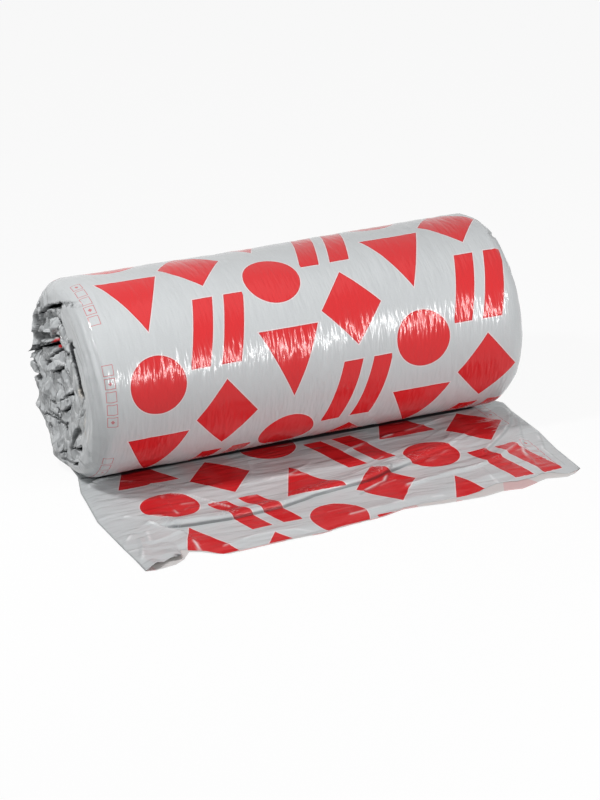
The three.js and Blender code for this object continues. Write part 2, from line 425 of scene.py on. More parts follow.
def end_shift(y, height, spin):
    """How the film of an end is moved from its plain rounded face, as (inwards, y, height), and its look:
    how much shade is painted on it, and how crushed, printed and dusty it is.

    Inside the outer turn's edge the film lies deeper and is crushed into facets, but for the smooth band.
    Beside each fold it drops at once and comes back over the fold's width, the later the darker the shade
    painted into its gap is, while the fold's other side is a raised lip that leans over the drop. The folds
    are turned about the axis by spin, and then stay inside the outer turn's edge. The far side is crushed
    over its rounding too. Only the end without spin has loose film standing out there, print in a pocket and
    a dusty streak.
    """
    radius = np.maximum(np.hypot(y, height - AXIS_HEIGHT), 0.001)
    out_y, out_z = y / radius, (height - AXIS_HEIGHT) / radius
    cosine, sine = math.cos(spin), math.sin(spin)
    own_y = radius * (cosine * out_y + sine * out_z)
    own_z = AXIS_HEIGHT + radius * (cosine * out_z - sine * out_y)
    distance, side, _, _, _ = nearest_on_line(y, height, OUTER_TURN_EDGE)
    deep = ramp(side * distance, -0.003, 0.010)
    far = ramp(y, 0.03, 0.13)
    crushed = np.maximum(deep, 0.75 * far)
    band = nearest_on_line(y, height, SMOOTH_BAND)[0]
    smooth = np.exp(-((band / SMOOTH_BAND_HALF) ** 4))
    calm = (1 - 0.5 * ramp(radius, 0.14, 0.19)) * (1 - 0.85 * smooth)
    depth = FACET_DEPTH + FACET_DEPTH_MORE * ramp(own_z, 0.12, 0.25)
    facets = crumple(own_y * 1.1, own_z * 0.8, FACET_SIZE, 40)
    inward = deep * (1 - smooth) * CRUSHED_SINK + crushed * calm * depth * facets
    inward += (1 - crushed) * 0.0022 * crumple(own_y, own_z, 0.060, 44)
    painted_shade = np.zeros_like(y)
    lean_y, lean_z = np.zeros_like(y), np.zeros_like(y)
    for number, (points, drop, widths, proud, dark) in enumerate(END_FOLDS + SMALL_FOLDS):
        distance, side, past, off, share = nearest_on_line(own_y, own_z, points)
        held = bell(past, 0, FOLD_FADE)
        if number >= len(END_FOLDS):
            held = held * crushed * calm
        elif spin:
            held = held * deep
        opened = widths[0] + (widths[1] - widths[0]) * share
        fallen = ramp(side * distance, 0, 0.3 * min(min(widths), 0.012)) * held
        fallen = fallen * (1 - np.clip(distance / opened, 0, 1) ** (1 + 2 * dark))
        lip = held * np.where(side > 0, 0, np.exp(-distance / (0.001 + 0.25 * max(widths))))
        inward += drop * fallen - proud * lip
        # Painted shade in the gap where the film has dropped beside the fold.
        painted_shade = np.maximum(painted_shade, ramp(fallen, 0.02, 0.22) * dark)
        lean = min(proud, LIP_LEAN) * lip
        lean_y -= lean * (cosine * off[..., 0] - sine * off[..., 1])
        lean_z -= lean * (cosine * off[..., 1] + sine * off[..., 0])
    pulled = 0.003 * far * crumple(out_y * 0.2, out_z * 0.2, 0.045, 52)
    for angle, width, proud in RIM_BULGES if spin == 0 else ():
        inward -= proud * bell(np.degrees(np.arctan2(out_y, out_z)), angle, width) * ramp(radius, 0.12, 0.18)
    inward = np.clip(inward, -MOST_PROUD, WOOL_INSET - WOOL_ROOM - WOOL_CONE * (radius / MAT_RADIUS) ** 2)
    pocket = bell(y, PRINTED_POCKET[0], PRINTED_POCKET_WIDTHS[0])
    pocket = pocket * bell(height, PRINTED_POCKET[1], PRINTED_POCKET_WIDTHS[1])
    printed = ramp(pocket, 0.3, 0.5) * (spin == 0)
    dusty = bell(nearest_on_line(y, height, DUSTY_STREAK)[0], 0.0, DUSTY_WIDTH) * (spin == 0)
    dusty = dusty * ramp(soft_noise(y / 0.010, height / 0.022, 57), -0.3, 0.6)
    look = np.stack([painted_shade, crushed, printed, dusty], -1)
    return inward, lean_y - pulled * out_y, lean_z - pulled * out_z, look


# Heights of the body's wrinkles, broad swells, pulls, bulge and gathers, and the gathers' width.
WRINKLE_HEIGHT = 0.0007
SWELL_HEIGHT = 0.0016
PULL_HEIGHT = 0.0009
BULGE_HEIGHT = 0.004
GATHER_HEIGHT = 0.0048
GATHER_WIDTH = 0.019


def body_relief(along, angle):
    """How far the film stands off the plain roll, by its place along the profile and round the roll.

    Tight film wrinkles round the roll, so the noises are short along it and long round it, and lean more
    the nearer they are to the right end's top. Broad swells and pulls are added, a bulge at the front of
    the right end, and gathers that run round both shoulders.
    """
    cells = angle / (2 * np.pi)
    wound = np.mod(angle, 2 * np.pi)
    leaning = along + 0.06 * ramp(along, 0.05, 0.45) * np.cos(wound - 0.5)
    wrinkle = soft_noise(leaning / 0.024, cells * 11, 11, 11)
    wrinkle = wrinkle + 0.6 * soft_noise(leaning / 0.013, cells * 22, 12, 22)
    swell = soft_noise(along / 0.21, cells * 5, 13, 5)
    pull = soft_noise(along / 0.09 + 3 * np.sin(angle), cells * 6, 14, 6)
    relief = WRINKLE_HEIGHT * wrinkle + SWELL_HEIGHT * swell + PULL_HEIGHT * pull
    relief += BULGE_HEIGHT * bell(along, 0.465, 0.05) * bell(wound, 1.4, 0.6)
    gathered = ramp(np.abs(along), HALF_LENGTH - 0.065, HALF_LENGTH - 0.015)
    gathered = gathered * (1 - ramp(np.abs(along), HALF_LENGTH + 0.050, HALF_LENGTH + 0.080))
    reach = np.where(along < 0, 0.25 + bell(wound, 1.15, 0.42), 0.3 + 0.7 * bell(wound, 0.40, 0.4))
    lines = along / GATHER_WIDTH + 0.7 * np.sin(wound * 2 + 0.4)
    lines = lines + 0.3 * soft_noise(along / 0.05, cells * 12, 15, 12)
    ridge = (0.5 + 0.5 * np.cos(2 * np.pi * lines)) ** 1.5
    patches = ramp(soft_noise(along / GATHER_WIDTH, cells * 14, 16, 14), -0.6, 0.3)
    return relief + GATHER_HEIGHT * gathered * reach * ridge * patches


# Length of the body beside each shoulder over which an end's shift sets in.
END_SHIFT_START = 0.010


def roll_point(along, angle, sizes):
    """Points of the wrapped film, and for each its look: its painted shade, and how crushed, printed and
    dusty it is.

    along runs over the body, each shoulder's quarter circle and the end face, as a length from the roll's
    middle. The plain profile is moved out along its normal by the body's relief. Past the body each point
    is moved by its end's shift too, with a weight that grows over the shoulder.
    """
    straight = sizes.half_length - sizes.shoulder
    arc = sizes.shoulder * np.pi / 2
    side = np.sign(along)
    past = np.clip(np.abs(along) - straight, 0, arc)
    turn = past / sizes.shoulder
    to_centre = np.maximum(np.abs(along) - straight - arc, 0)
    waist = sizes.waist * np.clip(1 - (along / straight) ** 2, 0, 1)
    radius = sizes.radius - waist - sizes.shoulder * (1 - np.cos(turn)) - to_centre
    x = side * (np.minimum(np.abs(along), straight) + sizes.shoulder * np.sin(turn))
    relief = body_relief(along, angle)
    radius = radius + relief * np.cos(turn)
    x = x + side * relief * np.sin(turn)
    y = -radius * np.sin(angle)
    z = AXIS_HEIGHT + radius * np.cos(angle)
    look = np.zeros((*y.shape, 4))
    for end in (-1, 1):
        moved = along * end > straight - END_SHIFT_START
        if moved.any():
            spin = 0.0 if end < 0 else RIGHT_END_SPIN
            inward, lean_y, lean_z, shown = end_shift(y[moved], z[moved], spin)
            weight = ramp(np.abs(along[moved]), straight - END_SHIFT_START, straight + 0.9 * arc)
            x[moved] -= end * weight * inward
            y[moved] += weight * lean_y
            z[moved] += weight * lean_z
            look[moved] = weight[:, None] * shown
    return np.stack([x, y, np.maximum(z, WRAP_LOW[2])], -1), look


def disc_grid(cells):
    """A square grid bent to a unit disc: each square ring becomes a circle, with even steps round it."""
    steps = np.linspace(-1, 1, cells + 1)
    across, up = np.meshgrid(steps, steps, indexing="ij")
    wide = np.abs(across) >= np.abs(up)
    radius = np.where(wide, across, up)
    safe = np.where(radius == 0, 1, radius)
    angle = np.where(wide, np.pi / 4 * up / safe, np.pi / 2 - np.pi / 4 * across / safe)
    return radius * np.cos(angle), radius * np.sin(angle)


def disc_rim(cells):
    """Grid numbers round a square grid's rim, from its corner (low, low) to (high, low) and so on round."""
    line = np.arange(cells)
    side = cells + 1
    return np.concatenate([line * side, cells * side + line, (cells - line) * side + cells, cells - line])


class Skin:
    """Collects grids of points into one mesh whose neighbouring grids share their rims."""

    def __init__(self, sizes):
        """Starts without points or faces."""
        self.sizes = sizes
        self.points, self.looks, self.faces, self.corners = [], [], [], []
        self.count = 0

    def add_points(self, along, angle):
        """Numbers of newly added points, in the shape of the grid that they come in."""
        points, looks = roll_point(along, angle, self.sizes)
        self.points.append(points.reshape(-1, 3))
        self.looks.append(looks.reshape(-1, 4))
        self.count += along.size
        return np.arange(self.count - along.size, self.count).reshape(along.shape)

    def add_faces(self, faces, corners):
        """Adds faces by their points' numbers, with the place on the film of each face's corners."""
        self.faces += faces.tolist()
        self.corners.append(corners.reshape(-1, 2))

    def add_band(self, along, angles):
        """A grid that closes round the roll. It gives back its first and last ring, as numbers and places."""
        numbers = self.add_points(*np.meshgrid(along, angles, indexing="ij"))
        closed = np.append(angles, angles[0] - 2 * np.pi)
        places = np.stack(np.meshgrid(along, closed * self.sizes.radius, indexing="ij"), -1)
        after = np.roll(numbers, -1, 1)
        quads = np.stack([numbers[:-1], numbers[1:], after[1:], after[:-1]], -1)
        flat = np.stack([places[:-1, :-1], places[1:, :-1], places[1:, 1:], places[:-1, 1:]], 2)
        self.add_faces(quads.reshape(-1, 4), flat)
        return (numbers[0], places[0]), (numbers[-1], places[-1])

    def add_join(self, coarse, fine, side):
        """Faces between a ring and a finer one with a whole number of times its points.

        Each face has one step of the coarse ring on one side and all the fine steps beside it on the other.
        """
        ratio = fine[0].size // coarse[0].size
        start = np.arange(coarse[0].size) * ratio
        after = np.roll(coarse[0], -1)
        ring = [coarse[0], *(fine[0][(start + step) % fine[0].size] for step in range(ratio + 1)), after]
        flat = [coarse[1][:-1], *(fine[1][start + step] for step in range(ratio + 1)), coarse[1][1:]]
        self.add_faces(np.stack(ring[::side], -1), np.stack(flat[::side], 1))

    def add_end(self, side, cells, rim_numbers):
        """One end face: a bent square grid whose rim is the last ring of the shoulder.

        The angles of a face's corners are counted from its first corner's the short way round, so that no
        face spans the whole print.
        """
        sizes = self.sizes
        disc_y, disc_z = disc_grid(cells)
        from_rim = (1 - np.hypot(disc_y, disc_z)) * (sizes.radius - sizes.shoulder)
        angle = np.arctan2(disc_y, disc_z)
        along = side * (sizes.half_length - sizes.shoulder + sizes.shoulder * np.pi / 2 + from_rim)
        numbers = self.add_points(along, angle).ravel()
        numbers[disc_rim(cells)] = rim_numbers
        quads = grid_faces(cells + 1, cells + 1, False)[:, ::side]
        first = angle.ravel()[quads[:, :1]]
        unwrapped = first + np.mod(angle.ravel()[quads] - first + np.pi, 2 * np.pi) - np.pi
        places = np.stack([along.ravel()[quads], unwrapped * sizes.radius], -1)
        self.add_faces(numbers[quads], places)

    def build(self, name, materials):
        """The finished piece, with one attribute for each look that its material reads."""
        points, corners = np.concatenate(self.points), np.concatenate(self.corners)
        piece = new_piece(name, points, self.faces, corners, materials)
        for label, values in zip(("painted_shade", "crushed", "printed", "dusty"), np.concatenate(self.looks).T):
            add_values(piece, label, values)
        return piece


def rim_angles(cells):
    """Angles of a bent square grid's rim, falling steadily round the roll."""
    disc_y, disc_z = disc_grid(cells)
    rim = disc_rim(cells)
    return np.unwrap(np.arctan2(disc_y.ravel()[rim], disc_z.ravel()[rim]))


# For each end its side, how many times finer than the body's its mesh is, and its rings over the shoulder.
END_MESHES = ((-1, 4, 21), (1, 2, 12))

# The body's grid ends this far before a shoulder, and the join to the shoulder's finer grid is this long.
JOIN_BEFORE = 0.016
JOIN_LENGTH = 0.003


def build_film_wrap(sizes, materials):
    """The film on the roll: a grid over the body and, on each end, a finer one over the shoulder and a disc.

    The end at -X, which is crushed most, has the finest mesh. Rings of many-sided faces join the grids.
    """
    arc = sizes.shoulder * math.pi / 2
    straight = sizes.half_length - sizes.shoulder
    join = straight - JOIN_BEFORE
    skin = Skin(sizes)
    body = skin.add_band(np.linspace(-join, join, sizes.rows), rim_angles(sizes.columns // 4))
    for side, fineness, rings in END_MESHES:
        cells = sizes.columns * fineness // 4
        along = side * np.linspace(join + JOIN_LENGTH, straight + arc, rings)
        first, last = skin.add_band(along[::side], rim_angles(cells))
        inner, outer = (last, first) if side < 0 else (first, last)
        skin.add_join(body[0] if side < 0 else body[1], inner, side)
        skin.add_end(side, cells, outer[0])
    return skin.build("film_wrap_skin", materials)


# ---------------------------------------------------------------- loose film

# Edges of the loose film: the sides as pairs (y, x), the lower layer's front as (x, y), and how much
# shorter the upper layer is, by x.
LEFT_EDGE = (
    (0.03, -0.490), (-0.03, -0.492), (-0.11, -0.515), (-0.26, -0.533), (-0.40, -0.528), (-0.52, -0.522),
)
RIGHT_EDGE = (
    (0.03, 0.500), (-0.02, 0.515), (-0.06, 0.541), (-0.11, 0.536), (-0.24, 0.538), (-0.33, 0.530),
    (-0.45, 0.530),
)
FRONT_EDGE = (
    (-0.530, -0.512), (-0.498, -0.515), (-0.441, -0.506), (-0.427, -0.494), (-0.417, -0.459),
    (-0.397, -0.469), (-0.371, -0.481), (-0.346, -0.508), (-0.252, -0.503), (-0.159, -0.500),
    (-0.115, -0.503), (-0.063, -0.491), (0.035, -0.483), (0.091, -0.467), (0.180, -0.479), (0.274, -0.484),
    (0.327, -0.475), (0.371, -0.483), (0.435, -0.459), (0.490, -0.471), (0.530, -0.447),
)
UPPER_SHORTER = (
    (-0.54, 0.0), (-0.50, 0.004), (-0.46, 0.020), (-0.43, 0.012), (-0.38, 0.004), (0.08, 0.003),
    (0.14, 0.013), (0.24, 0.018), (0.30, 0.034), (0.36, 0.040), (0.42, 0.022), (0.46, 0.028), (0.50, 0.010),
    (0.54, 0.0),
)

# The long fold across the film: the line where its front comes down, its share of the full height by x, the
# widths of its front and its back, and how far the front leans out.
LONG_FOLD = (
    (-0.480, -0.318), (-0.437, -0.330), (-0.410, -0.354), (-0.385, -0.364), (-0.265, -0.373),
    (-0.146, -0.366), (-0.067, -0.343), (0.064, -0.330), (0.144, -0.302), (0.221, -0.274), (0.314, -0.236),
    (0.422, -0.173),
)
LONG_FOLD_SHARE = ((-0.450, 0.0), (-0.395, 1.0), (-0.02, 0.9), (0.14, 1.0), (0.24, 0.45), (0.42, 0.0))
FOLD_FRONT = 0.011
FOLD_BACK = 0.034
FOLD_LEAN = 0.0012

# Smaller creases of the loose film: the points of the line where it drops, on the left-hand side of their
# direction, how far, and the width over which the other side rises to it. CREASE_DROP is the width of the
# drop, and CREASE_FADE the length over which a crease runs out at its ends.
CREASE_DROP = 0.0022
CREASE_FADE = 0.012
TAIL_CREASES = (
    (((-0.437, -0.320), (-0.415, -0.361), (-0.388, -0.395), (-0.381, -0.446), (-0.384, -0.475)),
     0.0060, 0.016),
    (((0.527, -0.094), (0.526, -0.124), (0.495, -0.180), (0.455, -0.224), (0.369, -0.295)), 0.0045, 0.016),
    (((0.479, -0.278), (0.389, -0.333), (0.326, -0.355), (0.222, -0.364), (0.140, -0.380)), 0.0060, 0.022),
    (((0.504, -0.059), (0.408, -0.071), (0.287, -0.117), (0.218, -0.129), (0.100, -0.160)), 0.0030, 0.012),
    (((0.326, -0.369), (0.332, -0.436)), 0.0025, 0.010),
    (((-0.257, -0.317), (-0.306, -0.234), (-0.350, -0.198), (-0.448, -0.165)), 0.0024, 0.016),
    (((-0.362, -0.206), (-0.368, -0.267), (-0.364, -0.300)), 0.0020, 0.010),
    (((-0.396, -0.318), (-0.434, -0.290), (-0.473, -0.272)), 0.0028, 0.012),
    (((-0.028, -0.235), (-0.115, -0.221), (-0.167, -0.217)), 0.0020, 0.012),
    (((-0.004, -0.188), (-0.074, -0.226), (-0.177, -0.229)), 0.0022, 0.014),
    (((-0.124, -0.119), (-0.148, -0.198)), 0.0016, 0.008),
    (((0.169, -0.256), (0.065, -0.290), (0.020, -0.305)), 0.0022, 0.012),
    (((0.138, -0.293), (0.102, -0.343), (0.029, -0.371)), 0.0034, 0.014),
    (((-0.408, -0.064), (-0.438, -0.068), (-0.467, -0.076), (-0.484, -0.090)), 0.0160, 0.010),
    (((-0.317, -0.191), (-0.383, -0.123), (-0.465, -0.072)), 0.0034, 0.012),
    (((-0.528, -0.391), (-0.494, -0.353)), 0.0030, 0.006),
    (((-0.512, -0.464), (-0.494, -0.420), (-0.482, -0.377)), 0.0036, 0.006),
    (((-0.468, -0.393), (-0.458, -0.352)), 0.0024, 0.005),
    (((0.526, -0.155), (0.480, -0.262), (0.452, -0.330), (0.440, -0.437)), 0.0030, 0.010),
    (((0.536, -0.230), (0.500, -0.330), (0.500, -0.420)), 0.0030, 0.012),
    (((-0.120, -0.500), (-0.170, -0.470), (-0.260, -0.462), (-0.330, -0.478)), 0.0020, 0.014),
    (((0.190, -0.450), (0.090, -0.440), (-0.030, -0.455)), 0.0022, 0.014),
)

# Shadow painted where the film is tucked in below the roll's left end: the points of the painted dark line,
# its width and how dark it is.
TUCKED_SHADOW_LINES = (
    (((-0.487, -0.043), (-0.461, -0.055), (-0.428, -0.066), (-0.380, -0.066)), 0.0040, 0.95),
    (((-0.484, -0.084), (-0.467, -0.071), (-0.449, -0.067), (-0.420, -0.068)), 0.0034, 0.75),
)


def small_creases(count, seed):
    """Short random creases, in the form of TAIL_CREASES.

    They run along the long fold, give or take some degrees, and drop on either side. Their width grows with
    the drop.
    """
    chance = np.random.default_rng(seed)
    x, y = chance.uniform(-0.50, 0.50, count), chance.uniform(-0.46, -0.12, count)
    heading = 0.5 * ramp(x, -0.05, 0.40) + chance.normal(0, 0.28, count)
    heading = heading + np.pi * (chance.random(count) < 0.5)
    half = chance.uniform(0.015, 0.055, count)
    drops = chance.uniform(0.0005, 0.0018, count)

    def tip(crease, side):
        """One end of a crease: half its length from its middle, along its heading."""
        reach, turn = side * half[crease], heading[crease]
        return x[crease] + reach * math.cos(turn), y[crease] + reach * math.sin(turn)

    return tuple(
        ((tip(crease, -1), tip(crease, 1)), drops[crease], 0.006 + 5 * drops[crease])
        for crease in range(count)
    )


SMALL_CREASES = small_creases(60, 9)


def outline(points, value):
    """A place on an outline that is given as pairs (position, place), in straight runs between them."""
    pairs = sorted(points)
    return np.interp(value, [pair[0] for pair in pairs], [pair[1] for pair in pairs])


# Heights of the loose film's swells and flat facets, and of the ground swells below both its layers.
TAIL_SWELL_HEIGHT = 0.0015
TAIL_FACET_HEIGHT = 0.0011
GROUND_SWELL_HEIGHT = 0.0010


def tail_relief(x, y, to_edge, fold_height):
    """Height of the loose film over its flat lie, how far its long fold leans forwards, and its look: its
    painted shade, how crinkled it is, and its painted glints.

    The long fold is a hump: a quarter circle up from the line where its front comes down, then a bell curve
    back to the flat film. Its front leans out over that line. Each smaller crease drops at once on one side
    and fades exponentially on the other, and long flat facets lie between them. All of it starts where the
    roll no longer presses the film flat, and most of it ends before the front edge. Shade is painted on the
    film below the roll, in a pocket at the front left corner, at the foot of the long fold and of the
    sharpest creases, and along the tucked lines. The film is crinkled behind the long fold and near creases,
    and painted glints run along the creases' ridges.
    """
    distance, side, past, _, _ = nearest_on_line(x, y, LONG_FOLD)
    behind = side > 0
    share = outline(LONG_FOLD_SHARE, x) * bell(past, 0, 0.02)
    front = np.clip(distance / FOLD_FRONT, 0, 1)
    hump = np.sqrt(1 - (1 - front) ** 2) * bell(np.maximum(distance - FOLD_FRONT, 0), 0, FOLD_BACK)
    height = fold_height * share * hump * behind
    lean = FOLD_LEAN * share * np.sin(np.pi * front) * behind
    patchy = ramp(soft_noise(x / 0.045, y / 0.03, 64), -0.5, 0.5)
    crinkled = share * patchy * bell(distance, FOLD_FRONT + 0.006, 0.014) * behind
    # Painted shadow below the roll, and painted shade at the long fold's foot and in a corner pocket.
    below_roll = ramp(y, -0.073, -0.060) * ramp(x, -0.480, -0.450) * (1 - ramp(x, 0.455, 0.475))
    painted_shade = np.maximum(0.7 * share * bell(side * distance, 0.0, 0.0022), below_roll)
    painted_shade = np.maximum(painted_shade, 0.9 * bell(x, -0.437, 0.014) * bell(y, -0.486, 0.007))
    # Painted shadow along the tucked lines.
    for points, width, dark in TUCKED_SHADOW_LINES:
        distance, _, past, _, _ = nearest_on_line(x, y, points)
        painted_shade = np.maximum(painted_shade, dark * bell(past, 0, 0.004) * bell(distance, 0, width))
    painted_glint = np.zeros_like(painted_shade)
    for points, drop, width in TAIL_CREASES + SMALL_CREASES:
        distance, side, past, _, _ = nearest_on_line(x, y, points)
        held = bell(past, 0, CREASE_FADE)
        height = height + drop * held * np.exp(-distance / np.where(side > 0, CREASE_DROP, width))
        crinkled = crinkled + 60 * drop * held * np.exp(-distance / 0.006)
        # Painted shade at the foot of the creases about 4 mm high.
        foot = 0.5 * held * bell(drop, 0.004, 0.002) * ramp(x, -0.46, -0.43)
        painted_shade = np.maximum(painted_shade, foot * bell(side * distance, 0.0026, 0.0044))
        # Painted glints along the ridges of the higher creases.
        ridge = 0.9 * held * ramp(drop, 0.0008, 0.0030)
        painted_glint = np.maximum(painted_glint, ridge * bell(side * distance, -0.0022, 0.0028))
    painted_glint = painted_glint * ramp(soft_noise(x / 0.03, y / 0.03, 68), -0.3, 0.4)
    facets = facet_noise((0.5 * x + 0.2 * y) / 0.07, (y - 0.25 * x) / 0.07, 62)
    facets = facets + 0.4 * facet_noise((0.6 * x - 0.2 * y) / 0.028, (y + 0.10 * x) / 0.028, 66)
    height = height + TAIL_SWELL_HEIGHT * (1 + soft_noise(x / 0.13, y / 0.08, 61))
    height = height + TAIL_FACET_HEIGHT * (1.4 + facets)
    free = ramp(-y, 0.04, 0.13) * (0.25 + 0.75 * ramp(to_edge, 0.002, 0.045))
    return free * height, lean, np.stack([painted_shade, np.clip(crinkled, 0, 1), painted_glint], -1)


# Points across the loose film's upper and lower layer.
UPPER_COUNT = 240
LOWER_COUNT = 46

# Rows of its mesh behind the long fold, over the fold's front and before it, and how far the middle ones
# reach past that front on both sides.
ROWS_BACK = 80
ROWS_FOLD = 16
ROWS_FRONT = 60
FOLD_MARGIN = 0.003

# Mean place of its left edge, and its mean width.
MEAN_LEFT = -0.52
MEAN_WIDTH = 1.05

# How high its upper layer curls up at the front left corner, and stands open to the right of that.
CURL_HEIGHT = 0.016
OPENING_HEIGHT = 0.009


def build_film_tail(sizes, materials):
    """The empty film tube, laid flat: its upper layer, then its lower one back to where it began.

    Each layer is a grid between the side edges, with rows from below the roll to the front edge that crowd
    together along the long fold. The layers meet in a rounded fold at both sides and stay open at the
    front, where the upper one curls up at one corner and stands open beside it. The lower layer follows
    only a part of the upper one's relief. The print follows the length of film, so it is squeezed together
    where the film is folded.
    """
    share_up = np.linspace(0, 1, UPPER_COUNT)
    share_down = np.linspace(1, 0, LOWER_COUNT)
    across = np.concatenate([share_up, share_down[1:-1]])[None, :]
    count = across.size
    is_upper = np.arange(count)[None, :] < UPPER_COUNT
    rough_x = MEAN_LEFT + MEAN_WIDTH * across
    edge = outline(FRONT_EDGE, rough_x) + np.where(is_upper, outline(UPPER_SHORTER, rough_x), 0)
    fold = outline(LONG_FOLD, rough_x)
    back = np.linspace(0, 1, ROWS_BACK, endpoint=False)[:, None]
    middle = np.linspace(0, 1, ROWS_FOLD, endpoint=False)[:, None]
    front = np.linspace(0, 1, ROWS_FRONT)[:, None]
    fold_top, fold_foot = fold + FOLD_FRONT + FOLD_MARGIN, fold - FOLD_MARGIN
    y = np.concatenate([
        sizes.tuck + back * (fold_top - sizes.tuck),
        fold_top + middle * (fold_foot - fold_top),
        fold_foot + front * (edge - fold_foot),
    ])
    left, right = outline(LEFT_EDGE, y), outline(RIGHT_EDGE, y)
    x = left + (right - left) * across
    relief, lean, look = tail_relief(x, y, y - edge, sizes.fold_height)
    inside = 1 - np.abs(2 * across - 1) ** 50
    closed = ramp(y - edge, 0.0, 0.030)
    gap = sizes.gap * closed * np.sqrt(1 - np.abs(2 * across - 1) ** 30)
    ground = GROUND_SWELL_HEIGHT * ramp(-y, 0.08, 0.2) * (1 + soft_noise(x / 0.13, y / 0.09, 71))
    curl = CURL_HEIGHT * bell(x, -0.500, 0.022) * ramp(-y, 0.465, 0.515)
    opening = OPENING_HEIGHT * bell(x, -0.448, 0.022) * ramp(-y, 0.440, 0.488)
    shared = ground + 0.3 * relief * (1 - inside)
    high = sizes.film + shared + gap + (relief + curl + opening) * inside
    low = sizes.film / 2 + 0.5 * shared + 0.5 * (1 - closed) * relief * inside
    z = np.where(is_upper, high, low)
    y = y - np.where(is_upper, lean, 0)
    points = np.stack([x, y, z], -1)
    step = np.linalg.norm(np.diff(points, axis=0), axis=-1)
    run = np.concatenate([np.zeros((1, count)), np.cumsum(step, 0)])
    faces = grid_faces(len(y), count, True)[:, ::-1]
    places = np.stack([np.where(is_upper, x, -x), -run], -1).reshape(-1, 2)
    piece = new_piece("film_tail_skin", points.reshape(-1, 3), faces.tolist(), places[faces], materials)
    for number, label in enumerate(("painted_shade", "crushed", "painted_glint")):
        add_values(piece, label, look[..., number] * (is_upper | (number == 1)))
    return piece


# ---------------------------------------------------------------- wool mat

# Steps of the wound mat's mesh along the strip, and its stations along the roll.
MAT_STEPS = 240
MAT_STATIONS = 40

# Air between the mat and the film, air between two turns, the radius left free in the middle, the rounding of
# the outer turn's edges, and the height and size of the rough places on its faces.
MAT_AIR = 0.004
TURN_AIR = 0.003
MAT_CORE = 0.004
MAT_EDGE = 0.012
ROUGH_HEIGHT = 0.0009
ROUGH_SIZE = 0.012


def build_wool_mat(sizes, materials):
    """The wound mat: a strip that spirals inwards from below, one turn thickness for each time round.

    The outline goes out along the strip's outer face and back along its inner face, at all stations along
    X. Both ends are closed between the two faces, and hollowed so that they stay inside the crumpled film.
    """
    steps, stations = MAT_STEPS, MAT_STATIONS
    turn = sizes.turns * 2 * np.pi * np.linspace(0, 1, steps)
    angle = np.pi + turn
    outer = MAT_RADIUS - MAT_AIR - sizes.turn * turn / (2 * np.pi)
    thickness = (sizes.turn - TURN_AIR) * ramp(turn, -0.3, 0.5)
    inner = np.maximum(outer - thickness, MAT_CORE)
    radius = np.concatenate([outer, inner[::-1]])
    angles = np.concatenate([angle, angle[::-1]])
    share = np.linspace(-1, 1, stations)[:, None]
    half = HALF_LENGTH - WOOL_INSET + WOOL_CONE * (radius / MAT_RADIUS) ** 2
    edge = MAT_EDGE * ramp(np.abs(share), 0.955, 1.0) * (np.arange(2 * steps) < steps * 0.3)
    shrunk = radius[None, :] - edge
    round_place = angles[None, :] * radius[None, :]
    rough = ROUGH_HEIGHT * soft_noise(share * half / ROUGH_SIZE, round_place / ROUGH_SIZE, 81)
    y = -(shrunk + rough) * np.sin(angles)
    z = AXIS_HEIGHT + (shrunk + rough) * np.cos(angles)
    points = np.stack(np.broadcast_arrays(share * half, y, z), -1).reshape(-1, 3)
    count = 2 * steps
    faces = [grid_faces(stations, count, True)]
    first = np.arange(steps - 1)
    for station in (0, stations - 1):
        corner = station * count
        cap = np.stack([first, first + 1, count - 2 - first, count - 1 - first], -1) + corner
        faces.append(cap[:, ::-1] if station == 0 else cap)
    return new_piece("wool_mat_wound", points, np.concatenate(faces).tolist(), None, materials)


# ---------------------------------------------------------------- materials


